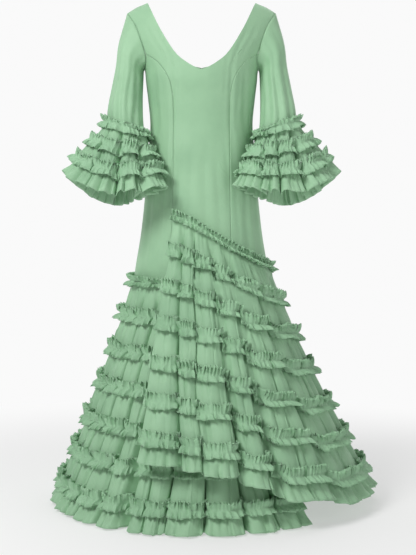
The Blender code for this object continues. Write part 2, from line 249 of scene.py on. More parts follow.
# %% [markdown]
# The body is a tube whose width and depth change with height, and the front and the back close
# to each other over the last hand's breadth below the shoulder seam. These are the same
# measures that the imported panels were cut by, so the cloth lies on them.

# %% The body's measures
BODY_BOTTOM = 0.560
UNDERARM_HEIGHT = 1.190
SHOULDER_ROUND = 0.170
SEAM_GAP = 0.0003
SHOULDER_GAP = 0.0009
APPLIED_GAP = 0.0042

BODY = table(
    "height half_width front back",
    (0.560, 0.195, 0.156, 0.173),
    (0.590, 0.190, 0.152, 0.168),
    (0.652, 0.181, 0.146, 0.160),
    (0.730, 0.168, 0.136, 0.150),
    (0.816, 0.158, 0.125, 0.141),
    (0.900, 0.151, 0.117, 0.128),
    (0.970, 0.145, 0.110, 0.112),
    (1.037, 0.1405, 0.105, 0.100),
    (1.100, 0.146, 0.114, 0.100),
    (1.150, 0.152, 0.126, 0.104),
    (1.190, 0.1565, 0.127, 0.106),
    (1.225, 0.171, 0.124, 0.105),
    (1.264, 0.195, 0.120, 0.103),
    (1.300, 0.208, 0.118, 0.100),
    (1.370, 0.235, 0.114, 0.096),
)
NECK_FRONT = table("along x height", (0.00, 0.0000, 1.1680), (0.13, 0.0300, 1.1815),
                   (0.34, 0.0705, 1.2155), (0.62, 0.1120, 1.2850), (1.00, 0.1490, 1.3695))
NECK_BACK = table("along x height", (0.00, 0.0000, 1.2110), (0.20, 0.0400, 1.2225),
                  (0.42, 0.0800, 1.2545), (0.68, 0.1190, 1.3080), (1.00, 0.1490, 1.3695))
SHOULDER = table("along x height", (0.0, 0.1490, 1.3695), (0.5, 0.1775, 1.3580),
                 (1.0, 0.2035, 1.3420))
PRINCESS = table("along x height", (0.00, 0.0815, 0.5600), (0.25, 0.0765, 0.8000),
                 (0.50, 0.0756, 1.0000), (0.65, 0.0763, 1.0836), (0.76, 0.0793, 1.1186),
                 (0.86, 0.0899, 1.1565), (0.94, 0.1180, 1.1960), (1.00, 0.1515, 1.2218))
ARMHOLE = table("angle x height", (0, 0.2035, 1.3420), (30, 0.1945, 1.3255),
                (60, 0.1790, 1.3000), (90, 0.1650, 1.2640), (120, 0.1515, 1.2218),
                (150, 0.1500, 1.2010), (180, 0.1565, 1.1900))
PRINCESS_END = 120


def shoulder_line(x):
    """Height of the shoulder seam over a distance from the centre."""
    fall = (1.3695 - 1.3420) / (0.2035 - 0.1490)
    return 1.3695 - (np.abs(x) - 0.1490) * fall


def body_turn(x, height, back):
    """Angle round the body in degrees: 0 in front, 90 at the wearer's left, 180 behind."""
    angle = np.degrees(np.arcsin(np.clip(x / read(BODY, height, "half_width"), -1, 1)))
    return np.where(np.asarray(back), np.sign(x) * 180 - angle, angle)


def body_radius(turn, height):
    """Distance from the axis to the body's cloth in the direction of a turn."""
    facing = np.cos(np.radians(turn))
    depth = np.where(facing > 0, read(BODY, height, "front"), read(BODY, height, "back"))
    return 1 / np.hypot(np.sin(np.radians(turn)) / read(BODY, height, "half_width"), facing / depth)


# %% [markdown]
# Cloth that hangs from a bust and over hips falls in soft vertical folds, and they start where
# the cut pulls: beside the princess seams, at the waist and below the armholes. Each row of the
# next table is one fold. It runs between two places, given by the turn round the body and the
# height, and it is a trough with a soft ridge beside it.

# %% Creases of the body
CREASES = table(
    "top_turn top low_turn low depth width",
    # front, beside the princess seams
    (-31, 1.185, -33, 1.020, 0.0052, 2.4), (-35, 1.060, -32, 0.780, 0.0040, 2.2),
    (-26, 0.960, -29, 0.760, 0.0042, 2.0), (-22, 1.010, -24, 0.800, 0.0016, 2.0),
    (31, 1.185, 33, 1.010, 0.0040, 2.4), (32, 1.040, 36, 0.700, 0.0026, 2.6),
    (35, 1.040, 42, 0.780, 0.0020, 3.0), (26, 0.980, 29, 0.720, 0.0016, 2.4),
    # front side panels
    (-55, 1.200, -60, 0.990, 0.0050, 5.0), (-44, 1.190, -46, 1.040, 0.0026, 3.0),
    (-47, 0.960, -44, 0.600, 0.0042, 4.0), (-62, 0.930, -58, 0.600, 0.0036, 4.0),
    (-36, 0.880, -35, 0.600, 0.0026, 2.5), (-75, 1.120, -72, 0.860, 0.0030, 4.0),
    (48, 1.190, 56, 1.010, 0.0044, 4.5), (41, 1.180, 43, 1.060, 0.0024, 2.6),
    (50, 0.930, 46, 0.620, 0.0040, 4.0), (64, 0.940, 61, 0.600, 0.0034, 4.0),
    (74, 1.130, 73, 0.850, 0.0030, 4.0),
    # front centre, below the waist
    (-11, 0.960, -13, 0.700, 0.0024, 3.2), (3, 0.940, 4, 0.680, 0.0030, 3.6),
    (15, 0.930, 17, 0.680, 0.0024, 3.0), (-18, 0.850, -21, 0.740, 0.0018, 2.2),
    # over the bust, from the straps
    (-38, 1.300, -30, 1.160, 0.0024, 2.6), (38, 1.290, 30, 1.160, 0.0024, 2.4),
    (-47, 1.310, -38, 1.190, 0.0022, 2.4), (47, 1.300, 39, 1.190, 0.0020, 2.4),
    (-24, 1.215, -25, 1.100, 0.0014, 2.0), (25, 1.215, 26, 1.090, 0.0014, 2.0),
    # back
    (148, 1.170, 146, 1.000, 0.0046, 2.6), (-149, 1.180, -147, 0.990, 0.0044, 2.6),
    (146, 1.010, 143, 0.700, 0.0042, 2.6), (-146, 1.020, -142, 0.690, 0.0044, 2.6),
    (166, 1.060, 168, 0.860, 0.0026, 3.2), (-168, 1.050, -166, 0.840, 0.0030, 3.4),
    (172, 0.900, 170, 0.640, 0.0030, 3.6), (-156, 0.880, -154, 0.620, 0.0032, 3.4),
    (157, 0.870, 155, 0.620, 0.0028, 3.2), (122, 1.160, 126, 0.980, 0.0042, 4.5),
    (-121, 1.160, -125, 0.960, 0.0044, 4.8), (124, 0.940, 121, 0.640, 0.0036, 4.0),
    (-122, 0.930, -120, 0.620, 0.0038, 4.2), (104, 1.120, 106, 0.880, 0.0028, 4.0),
    (-105, 1.110, -103, 0.870, 0.0028, 4.0),
)


CREASE_SHARE = 0.38


def creased(turn, height):
    """How far the body's cloth is drawn in or pushed out at a place by all its creases."""
    depth = np.zeros(np.shape(turn))
    for k in range(len(CREASES["depth"])):
        crease = {name: column[k] for name, column in CREASES.items()}
        run = (crease["top"] - height) / (crease["top"] - crease["low"])
        centre = mix(crease["top_turn"], crease["low_turn"], run)
        centre = centre + 0.8 * uneven(height, 0.07, k)
        fade = smooth((run + 0.10) / 0.35) * smooth((1.10 - run) / 0.35)
        side = (turn - centre) / crease["width"]
        trough = np.exp(-side**2) - 0.55 * np.exp(-(np.abs(side) - 1.9)**2 / 1.1)
        depth = depth - CREASE_SHARE * crease["depth"] * fade * trough
    return depth


def body_cloth(x, height, back, side=1):
    """Places points of the body given by x and height, with their creases."""
    x = x * side
    half_width = read(BODY, height, "half_width")
    deep = read(BODY, height, "back" if back else "front")
    rise = np.clip((shoulder_line(x) - height) / SHOULDER_ROUND, 0, 1)
    closing = np.sqrt(1 - (1 - rise)**2)
    round_off = np.sqrt(np.clip(1 - (x / half_width)**2, 0, 1))
    y = deep * round_off * closing + mix(SHOULDER_GAP, SEAM_GAP, closing)
    push = creased(body_turn(x, height, back), height) * smooth(rise * 2.5)
    ray = np.stack([x / half_width**2, y / deep**2], axis=-1)
    ray /= np.linalg.norm(ray, axis=-1, keepdims=True) + 1e-9
    x = x + ray[..., 0] * push
    y = y + ray[..., 1] * push
    return np.stack([x, y if back else -y, height - SHOULDER_HEIGHT], axis=-1)


# %% [markdown]
# A panel is a patch between four edges. Its points start on a flat grid and are spread between
# the four edge curves, which is the same sum that a Coons patch makes in any modeller. The
# centre panel's side runs up the princess seam and then up the armhole, and its top runs along
# the neck and then the shoulder, so one grid covers the front and both straps.

# %% Panels between their seams
SEAM_SHARE = 8 / 11
NECK_SHARE = 0.72


def curve(rows, t):
    return np.stack([read(rows, t, "x"), read(rows, t, "height")], axis=-1)


def princess(t, gap):
    """The princess seam, moved square to its line by a gap."""
    run = curve(PRINCESS, np.minimum(t + 0.01, 1)) - curve(PRINCESS, np.maximum(t - 0.01, 0))
    run /= np.linalg.norm(run, axis=-1, keepdims=True)
    return curve(PRINCESS, t) + np.stack([-run[..., 1], run[..., 0]], axis=-1) * gap


def eased(start, end, v, power):
    return mix(start, end, 1 - (1 - v)**power)


def patch(bottom, top, inner, outer, u, v, hold):
    """Spreads a grid's points between four edge curves."""
    u, v = u[:, None, None], v[None, :, None]
    w = v**hold
    low, high = bottom[:, None], top[:, None]
    left, right = inner[None], outer[None]
    corners = ((bottom[0] * (1 - u) + bottom[-1] * u) * (1 - w)
               + (top[0] * (1 - u) + top[-1] * u) * w)
    return low * (1 - w) + high * w + left * (1 - u) + right * u - corners


def centre_panel(neck, across, along):
    """Half a centre panel, as x and height, from the centre line to its outer edge."""
    u, v = np.linspace(0, 1, across + 1), np.linspace(0, 1, along + 1)
    seam = princess(np.clip(v / SEAM_SHARE, 0, 1), SEAM_GAP)
    arm = curve(ARMHOLE, PRINCESS_END * np.clip((1 - v) / (1 - SEAM_SHARE), 0, 1))
    outer = np.where((v <= SEAM_SHARE)[:, None], seam, arm)
    top = np.where((u < NECK_SHARE)[:, None], curve(neck, u / NECK_SHARE),
                   curve(SHOULDER, (u - NECK_SHARE) / (1 - NECK_SHARE)))
    bottom = np.stack([mix(0, outer[0, 0], u), np.full(len(u), BODY_BOTTOM)], axis=-1)
    inner = np.stack([np.zeros(len(v)), eased(BODY_BOTTOM, neck["height"][0], v, 2.0)], axis=-1)
    return patch(bottom, top, inner, outer, u, v, 2.5)


def side_panel(across, along):
    """A side panel, as angle round the body and height, from its seam to the side seam."""
    u, v = np.linspace(0, 1, across + 1), np.linspace(0, 1, along + 1)

    def angled(edge):
        return np.stack([body_turn(edge[..., 0], edge[..., 1], False), edge[..., 1]], axis=-1)

    inner = angled(princess(v, -SEAM_GAP))
    outer = np.stack([np.full(len(v), 90.0), eased(BODY_BOTTOM, UNDERARM_HEIGHT, v, 1.6)], axis=-1)
    top = angled(curve(ARMHOLE, mix(PRINCESS_END, 180, u)))
    top = top + (inner[-1] - top[0]) * (1 - u)[:, None]
    bottom = np.stack([mix(inner[0, 0], 90, u), np.full(len(u), BODY_BOTTOM)], axis=-1)
    return patch(bottom, top, inner, outer, u, v, 1.0)


# %% [markdown]
# With the seams as curves, each panel is one call. The left and the right side come from one
# pattern turned over, as they do on a cutting table.

# %% The body's seven panels
half = centre_panel(NECK_FRONT, 44, 96)
flat = np.concatenate([half[:0:-1] * (-1, 1), half])
cloth("front_centre_cloth", body_cloth(flat[..., 0], flat[..., 1], False), ["front_centre"],
      body_poplin, hems="top")
for name, side in (("left", 1), ("right", -1)):
    flat = centre_panel(NECK_BACK, 34, 80)
    flat[..., 0] = np.maximum(flat[..., 0], SEAM_GAP)
    cloth(f"back_centre_{name}_cloth", body_cloth(flat[..., 0], flat[..., 1], True, side),
          [f"back_centre_{name}"], body_poplin, hems="top")
    flat = side_panel(34, 70)
    across = read(BODY, flat[..., 1], "half_width") * np.sin(np.radians(flat[..., 0]))
    for face, back in (("front", False), ("back", True)):
        cloth(f"{face}_side_{name}_cloth", body_cloth(across, flat[..., 1], back, side),
              [f"{face}_side_{name}"], body_poplin)
print("body pieces", len(made))

# %% [markdown]
# A set-in sleeve is a tube that starts on the armhole, which stands almost upright, and turns
# into a level ring at the elbow, by way of a table of rings. Its folds hang from the sleeve's
# head, so they run the whole length and deepen on the way down.

# %% Sleeves
ARMHOLE_STEP = 0.0005
UNDERARM_STEP = 0.0014
SLEEVE_FOLD_SHARE = 0.5
SLEEVE = table(
    "along centre_x centre_y height tilt half_width half_depth",
    (0.2, 0.1930, -0.003, 1.220, 50, 0.0520, 0.0600),
    (0.4, 0.1975, -0.012, 1.170, 32, 0.0430, 0.0590),
    (0.6, 0.2030, -0.026, 1.115, 20, 0.0440, 0.0580),
    (0.8, 0.2070, -0.041, 1.060, 17, 0.0490, 0.0590),
    (1.0, 0.2055, -0.055, 1.018, 19, 0.0530, 0.0600),
)
# Angle round the sleeve: 0 outside, 90 in front, 180 inside, 270 behind.
SLEEVE_FOLDS = {
    "left": table("angle depth width", (20, 0.0035, 8), (52, 0.0060, 9), (90, 0.0075, 8),
                  (124, 0.0060, 9), (152, 0.0045, 8), (205, 0.0040, 10), (243, 0.0055, 9),
                  (280, 0.0060, 10), (322, 0.0045, 9)),
    "right": table("angle depth width", (34, 0.0045, 9), (74, 0.0065, 9), (104, 0.0040, 7),
                   (128, 0.0075, 8), (156, 0.0045, 8), (198, 0.0040, 10), (238, 0.0055, 9),
                   (272, 0.0060, 10), (316, 0.0050, 10)),
}


def sleeve_ring(share, angle):
    """Points of the sleeve's rings below the armhole, without folds."""
    angle, tilt = np.radians(angle), np.radians(read(SLEEVE, share, "tilt"))
    reach = read(SLEEVE, share, "half_width") * np.cos(angle)
    return np.stack([read(SLEEVE, share, "centre_x") + reach * np.cos(tilt),
                     read(SLEEVE, share, "centre_y")
                     - read(SLEEVE, share, "half_depth") * np.sin(angle),
                     read(SLEEVE, share, "height") + reach * np.sin(tilt)], axis=-1)


def sleeve_cloth(name, side, around, along):
    angle = np.linspace(0, 360, around + 1)
    edge = curve(ARMHOLE, np.minimum(angle, 360 - angle))
    ring = [np.where((angle <= 180)[:, None], body_cloth(edge[:, 0], edge[:, 1], False),
                     body_cloth(edge[:, 0], edge[:, 1], True))]
    ring[0][:, 0] += ARMHOLE_STEP + UNDERARM_STEP * ((1 - np.cos(np.radians(angle))) / 2)**3
    ring[0][:, 2] += SHOULDER_HEIGHT
    ring += [sleeve_ring(share, angle) for share in SLEEVE["along"]]
    shares = np.array([0.0, *SLEEVE["along"]])
    v = np.linspace(0, 1, along + 1)
    points = np.empty((around + 1, along + 1, 3))
    for i in range(around + 1):
        rows = dict(along=shares, x=np.array([r[i, 0] for r in ring]),
                    y=np.array([r[i, 1] for r in ring]), z=np.array([r[i, 2] for r in ring]))
        points[i] = np.stack([read(rows, v, axis) for axis in "xyz"], axis=-1)
    middle = points[:-1].mean(axis=0)
    ray = points - middle
    ray /= np.linalg.norm(ray, axis=-1, keepdims=True)
    push = np.zeros((around + 1, along + 1))
    folds = SLEEVE_FOLDS[name]
    for k in range(len(folds["angle"])):
        wander = folds["angle"][k] + 7 * uneven(v * 0.3, 0.09, k + 50 * (side > 0)) * smooth(v * 2)
        turn = (angle[:, None] - wander + 180) % 360 - 180
        off = turn / folds["width"][k]
        grow = 0.25 + 0.75 * smooth(v * 1.4)
        trough = np.exp(-off**2) - 0.5 * np.exp(-(np.abs(off) - 2)**2)
        push -= SLEEVE_FOLD_SHARE * folds["depth"][k] * grow * trough
    points += ray * (push * smooth(v / 0.06))[..., None]
    points[..., 0] *= side
    points[..., 2] -= SHOULDER_HEIGHT
    cloth(f"sleeve_{name}_cloth", points, [f"sleeve_{name}"], body_poplin, closed=True)


for name, side in (("left", 1), ("right", -1)):
    sleeve_cloth(name, side, 120, 48)
print("with sleeves", len(made))

# %% [markdown]
# Gathered cloth is the heart of this dress. A long strip is drawn up on a thread, so it falls in
# big rounded folds with narrow, deep valleys between them, like the pipes of an organ. Here a
# place along a strip is counted in folds: 3.5 is the crest between valleys 3 and 4. The mesh
# follows the folds, with its points closest together at the valleys, where cloth turns hardest.

# %% Folds counted along a strip
def fold_columns(widths, depths, step):
    """Places along a strip, counted in folds, about one step of cloth apart."""
    places = []
    for k, width in enumerate(widths):
        count = max(8, int(round((width + depths[k] + depths[k + 1]) / step)))
        t = np.arange(count) / count
        places.append(k + mix(t, 0.5 - 0.5 * np.cos(pi * t), 0.55))
    return np.append(np.concatenate(places), len(widths))


def drawn_in(place, depths, floors):
    """Share of a valley's depth at each place, and the lean over it."""
    k = np.clip(np.floor(place).astype(int), 0, len(depths) - 2)
    f = place - k
    near = np.where(f < 0.5, k, k + 1)
    gap = np.minimum(f, 1 - f)
    steep = 1 / (1 + (gap / (1.3 * floors[near] + 0.040))**6)
    inward = mix(steep, 1 - np.sin(pi * gap)**0.6, 0.42)
    lean = np.sin(pi * np.clip(gap / 0.2, 0, 1)) * np.where(f < 0.5, -1, 1)
    return near, inward, lean


def pleats(distance, pitch, seed):
    """Phase of uneven pleats along a strip, from a distance in metres."""
    rng = np.random.default_rng(seed)
    steps = pitch * rng.uniform(0.55, 1.5, int(distance.max() / pitch / 0.6) + 8)
    knots = np.concatenate([[0], np.cumsum(steps)])
    return 2 * pi * np.interp(distance, knots, np.arange(len(knots)))


# %% [markdown]
# The flounce is gathered to a line that climbs from the left hip round the back to the right
# front, so its measures are given by the turn round the body and go on past a full circle. The
# big valleys are placed one by one. Every row of gathers moves and deepens them a little, because
# each tier was gathered on its own, and a fixed seed keeps them the same in each run.

# %% The flounce's measures
ROWS = (0.0, 0.152, 0.305, 0.455, 0.615, 0.760, 0.905, 1.0)
FLOUNCE_LENGTH = 0.650
BELL = 0.20
LEAN = 0.12
CLEAR_OF_BODY = 0.0040
CLEAR_OF_LAYER = 0.027
OVERLAP_END = 46
LOBE_EDGE = 0.16
LEVEL_SHARE = 0.75
LIFT_LIMIT = 0.006

SPIRAL = table(
    "turn heading hem radius",
    (-33, 0.787, 0.180, 0.382), (-7, 0.758, 0.160, 0.394), (15, 0.726, 0.133, 0.410),
    (30, 0.700, 0.090, 0.425), (52, 0.668, 0.056, 0.450), (70, 0.650, 0.038, 0.466),
    (90, 0.642, 0.040, 0.482), (135, 0.632, 0.020, 0.470), (180, 0.622, 0.010, 0.450),
    (225, 0.614, 0.006, 0.430), (270, 0.607, 0.006, 0.412), (315, 0.603, 0.000, 0.398),
    (360, 0.592, 0.000, 0.392), (404, 0.580, 0.000, 0.392),
)
# floor is the flat share of a fold's width at the bottom of its valley.
VALLEYS = table(
    "hem top depth floor",
    (-24.5, -33, 0.000, 0.00), (-7, -20, 0.070, 0.06), (0.5, -9, 0.054, 0.04),
    (15.5, 10, 0.074, 0.08), (28, 28, 0.078, 0.11), (40, 40, 0.012, 0.02), (52, 48, 0.068, 0.07),
    (66, 63, 0.018, 0.02), (81, 78, 0.054, 0.06), (92, 91, 0.016, 0.02), (103, 102, 0.050, 0.05),
    (115, 114, 0.018, 0.02), (126, 126, 0.046, 0.06), (138, 138, 0.016, 0.02),
    (148, 148, 0.052, 0.05), (159, 159, 0.018, 0.02), (170, 170, 0.044, 0.04),
    (181, 181, 0.016, 0.02), (191, 191, 0.050, 0.06), (203, 203, 0.018, 0.02),
    (214, 214, 0.046, 0.05), (226, 226, 0.016, 0.02), (236, 236, 0.052, 0.05),
    (248, 248, 0.018, 0.02), (259, 259, 0.044, 0.04), (273, 273, 0.016, 0.02),
    (285, 285, 0.044, 0.04), (293, 294, 0.018, 0.02), (302, 303, 0.040, 0.04),
    (316, 318, 0.042, 0.05), (329, 332, 0.064, 0.12), (338, 339, 0.014, 0.02),
    (346.5, 346, 0.054, 0.04), (361.5, 361, 0.052, 0.04), (377, 374, 0.054, 0.04),
    (391, 388, 0.036, 0.03), (404, 398, 0.000, 0.00),
)
shift = np.random.default_rng(7)
folds = len(VALLEYS["hem"])
VALLEY_DRIFT = shift.uniform(-0.9, 0.9, (folds, len(ROWS)))
VALLEY_DEPTH = shift.uniform(0.78, 1.22, (folds, len(ROWS)))
VALLEY_DRIFT[[0, -1]] = 0
# A lobe is the cloth between two deep valleys. Its rows lie nearly level, and step at its sides.
LOBES = np.array([0, *np.flatnonzero(VALLEYS["depth"] > 0.03), folds - 1])
print("folds in the flounce", folds - 1)


def over_rows(values, along):
    """Values given for each fold at each row of gathers, read between the rows."""
    k = np.clip(np.searchsorted(ROWS, along, side="right") - 1, 0, len(ROWS) - 2)
    t = smooth((along - np.take(ROWS, k)) / (np.take(ROWS, k + 1) - np.take(ROWS, k)))
    return values[:, k] * (1 - t) + values[:, k + 1] * t


def valley_turns(along):
    share = max(along, 0.0)
    return mix(VALLEYS["top"], VALLEYS["hem"], share) + over_rows(VALLEY_DRIFT, share)


def valley_depths(along):
    share = max(along, 0.0)
    return VALLEYS["depth"] * share**0.42 * over_rows(VALLEY_DEPTH, share)


def crest_radius(top, hem, along):
    """Radius of the folds' crests, and how far they spread down to the hem."""
    start = body_radius(top, read(SPIRAL, top, "heading")) + APPLIED_GAP
    spread = read(SPIRAL, hem, "radius") - start
    share = max(along, 0.0)
    return start + spread * ((1 - BELL) * share + BELL * share**2), spread


# %% [markdown]
# A fold can't sink into the body, and where the flounce overlaps itself the top layer can't sink
# into the one below. So each point has a resting radius that nothing goes under. A ruffle's
# pleat that moves sideways over a steep fold is lifted a little, and so cuts less into it.

# %% One line across the flounce
def resting_radius(turn, height):
    """The least radius for a fold, clear of the body and of the layer below."""
    body = np.where(height > BODY_BOTTOM - 0.01, body_radius(turn, height) + CLEAR_OF_BODY, 0.0)
    under = turn + 360
    heading = read(SPIRAL, under, "heading")
    along = np.clip((heading - height) / heading, 0, 1)
    start = body_radius(turn, heading) + APPLIED_GAP
    layer = start + (read(SPIRAL, under, "radius") - start) * ((1 - BELL) * along + BELL * along**2)
    overlap = (turn < OVERLAP_END) & (height < heading + 0.03)
    return np.where(overlap, np.maximum(body, layer + CLEAR_OF_LAYER), body)


def flounce_line(place, along, out, slide):
    """Points of one line across the flounce; out and slide are moves in metres."""
    turns, depths = valley_turns(along), valley_depths(along)
    steps = np.arange(folds)
    turn = np.interp(place, steps, turns)
    top = np.interp(place, steps, VALLEYS["top"])
    hem = np.interp(place, steps, VALLEYS["hem"])
    radius, spread = crest_radius(top, hem, along)
    lobe = np.clip(np.searchsorted(LOBES, place, side="right") - 1, 0, len(LOBES) - 2)
    wide = LOBES[lobe + 1] - LOBES[lobe]
    across = (place - LOBES[lobe]) / wide
    settled = (smooth(across / LOBE_EDGE) + smooth((across - (1 - LOBE_EDGE)) / LOBE_EDGE)) / 2
    level = mix(place, LOBES[lobe] + wide * settled, LEVEL_SHARE * smooth(along * 3))
    heading = read(SPIRAL, np.interp(level, steps, VALLEYS["top"]), "heading")
    drop = heading - read(SPIRAL, np.interp(level, steps, VALLEYS["hem"]), "hem")
    near, inward, lean = drawn_in(place, depths, VALLEYS["floor"])
    depth = depths[near]
    height = heading - drop * max(along, 0.0)
    slope = np.arctan2(spread, drop)
    if along < 0:
        height = heading - along * FLOUNCE_LENGTH
        radius = body_radius(top, height) + APPLIED_GAP
        slope = np.zeros_like(top)
    height = height + np.maximum(out, 0.0) * np.sin(slope)
    rest = resting_radius(turn, height)
    folded = np.maximum(radius - depth * inward, rest)
    steepness = np.abs(np.gradient(folded) / np.gradient(np.radians(turn) * folded))
    lift = np.minimum(np.abs(slide) * steepness, LIFT_LIMIT)
    radius = np.maximum(folded + lift + out * np.cos(slope), rest)
    angle = np.radians(turn) + (slide + LEAN * depth * lean) / radius
    return np.stack([radius * np.sin(angle), -radius * np.cos(angle),
                     height - SHOULDER_HEIGHT], axis=-1)


def flounce_places(along, out, step):
    """Places along the flounce about one step of cloth apart, and the distance at each."""
    radius, _ = crest_radius(VALLEYS["top"][:-1], VALLEYS["hem"][:-1], along)
    widths = np.radians(np.diff(valley_turns(along))) * radius
    place = fold_columns(widths, valley_depths(along), step)
    return place, travelled(flounce_line(place, along, out, 0.0))


# %% [markdown]
# A tier hangs from its row of gathers, so it starts in many small tucks that die away in the
# first few centimetres, and every third or fourth of them runs on down most of the tier. The
# next row gathers it again, with shorter tucks. The last tier ends free, in a fluted hem.

# %% Tiers of the flounce
TIER_STEP = 0.0031
TIER_ROWS = 8
# pitch, depth and reach in metres: from the row above, then at the lower edge
SEAM_TUCKS = ((0.0170, 0.0070, 0.026), (0.0480, 0.0130, 0.080))
LOWER_TUCKS = (0.0150, 0.0040, 0.012)
HEM_FLUTES = (0.0400, 0.0160, 0.060)


def gathers(distance, away, pitch, deep, reach, seed):
    """Narrow valleys between small round folds, each with its own depth and length."""
    place = pleats(distance, pitch, seed) / (2 * pi)
    k = np.floor(place).astype(int)
    f = place - k
    near = np.where(f < 0.5, k, k + 1)
    rng = np.random.default_rng(seed + 1)
    own_depth = rng.uniform(0.35, 1.35, near.max() + 2)[near]
    own_reach = reach * rng.uniform(0.35, 1.9, near.max() + 2)[near]
    crest = np.sin(pi * np.clip(f, 0, 1))**0.6
    return -deep * own_depth * (1 - crest) * np.exp(-(away / own_reach)**1.5)


def tucks(distance, below, length, seed, last=False):
    """How far a tier's cloth is drawn in by its small gathers."""
    above = length - below
    inward = gathers(distance, below, *SEAM_TUCKS[0], seed)
    inward = inward + gathers(distance, below, *SEAM_TUCKS[1], seed + 2)
    inward = inward + gathers(distance, above, *(HEM_FLUTES if last else LOWER_TUCKS), seed + 4)
    middle = smooth(below / 0.03) * smooth(above / 0.03)
    sag = -0.0026 * (1 + uneven(distance, 0.05, seed + 6)) * middle
    return inward * smooth((below + 0.004) / 0.010) + sag


for k, (start, end) in enumerate(zip(ROWS, ROWS[1:]), 1):
    place, distance = flounce_places((start + end) / 2, 0.0, TIER_STEP)
    length = (end - start) * FLOUNCE_LENGTH
    edge = SEAM_GAP / FLOUNCE_LENGTH * 2
    last = k == len(ROWS) - 1
    points = np.empty((len(place), TIER_ROWS + 1, 3))
    for row in range(TIER_ROWS + 1):
        t = row / TIER_ROWS
        window = 1.0 if last else smooth((1 - t) * 5)
        puff = 0.010 * t**1.5 if last else 0.0020 * np.sin(pi * t)**1.8
        out = puff + tucks(distance, t * length, length, 20 * k, last) * mix(0.35, 1.0, window)
        slide = 0.0016 * uneven(distance, 0.012, 20 * k + 11) * window
        points[:, row] = flounce_line(place, mix(start + edge, end - edge, t), out, slide)
    hems = "start end bottom" if last else "start end"
    cloth(f"flounce_tier_{k}_cloth", points, [f"flounce_tier_{k}"], flounce_poplin, hems=hems)
print("tiers made, widest strip", len(place), "columns")

# %% [markdown]
# A ruffle is a strip hemmed on both edges, drawn up on a thread along its middle and stitched
# down there. Both edges spring away from the skirt in uneven pleats, tighter above than below.
# Across the strip the cloth leans out further the nearer it is to an edge. Along it each pleat
# is a loop wider than its neck, which takes a sideways move at twice the pleats' own pace, and
# it flops to one side by chance, so that a frill doesn't look combed. The heading is the same
# strip, but narrower, with tighter and deeper pleats.

# %% Ruffles of the flounce
RUFFLE_WIDTH = 0.040
RUFFLE_STAND = 0.012
RUFFLE_STEP = 0.0022
RUFFLE_ROWS = 6
PLEAT = 0.0118
PLEAT_DEPTH = 0.0125
LEAST_STAND = 0.0030
HEADING_WIDTH, HEADING_PLEAT, HEADING_DEPTH = 0.86, 0.80, 1.2
PRESSED_FROM = 325


def ruffle_moves(w, distance, seed, stand, pitch, deep):
    """Moves of a ruffle's line at w from -1, its upper edge, to 1: out, sideways and down."""
    edge = abs(w)
    seed = seed + (1000 if w > 0 else 0)
    place = pleats(distance, 1.40 * pitch if w > 0 else 0.85 * pitch, seed) / (2 * pi)
    f = place - np.floor(place)
    crest = np.sin(pi * np.clip(f, 0, 1))**0.8
    size = 1 + 0.55 * uneven(distance, 0.024, seed + 1)
    rise = 1 - (1 - edge)**2
    out = stand * rise * (0.72 + 0.30 * uneven(distance, 0.045, seed + 2))
    out = out + edge**0.6 * deep * (1.15 if w > 0 else 1.0) * size * (crest - 0.62)
    out = np.maximum(out, LEAST_STAND * edge)
    flop = np.random.default_rng(seed + 5).uniform(-1, 1, int(place.max()) + 2)
    flop = flop[np.floor(place).astype(int)]
    slide = edge**0.7 * (0.24 * deep * size * np.sin(2 * pi * f) + 0.42 * deep * flop * crest
                         + 0.0022 * uneven(distance, 0.024, seed + 3))
    down = edge * (0.0036 * uneven(distance, 0.030, seed + 4)
                   + 0.0046 * (crest - 0.6) * np.sign(w))
    return out, slide, down


for k, line in enumerate(ROWS[:-1], 1):
    step = RUFFLE_STEP * (0.62 if k == 1 else 0.80 if k == 2 else 1.0)
    place, distance = flounce_places(line, APPLIED_GAP, step)
    pressed = narrow = tight = deep = 1.0
    if k == 1:
        # The heading's end lies under the top layer, which presses it flatter.
        top = np.interp(place, np.arange(folds), VALLEYS["top"])
        pressed = 1 - 0.5 * smooth((top - PRESSED_FROM) / 30)
        narrow, tight, deep = HEADING_WIDTH, HEADING_PLEAT, HEADING_DEPTH
    points = np.empty((len(place), RUFFLE_ROWS + 1, 3))
    for row in range(RUFFLE_ROWS + 1):
        w = 2 * row / RUFFLE_ROWS - 1
        out, slide, down = ruffle_moves(w, distance, 100 * k, RUFFLE_STAND,
                                        PLEAT * tight, PLEAT_DEPTH * deep)
        along = line + narrow * w * RUFFLE_WIDTH / 2 / FLOUNCE_LENGTH
        points[:, row] = flounce_line(place, along, APPLIED_GAP + out * pressed, slide)
        points[:, row, 2] -= down * pressed
    cloth(f"flounce_ruffle_{k}_cloth", points, [f"flounce_ruffle_{k}"], ruffle_poplin,
          hems="top bottom start end")
print("ruffles made, widest strip", len(place), "columns")

# %% [markdown]
# A cuff is the same flounce in small, closed into a ring round the sleeve's end. Arms hang a
# little forward, so the ring of its hem lies in front of the hip and dips behind, and its table
# gives the hem's place for each angle round the sleeve. Where a cuff hangs beside the hip, it is
# kept clear of the body's side.

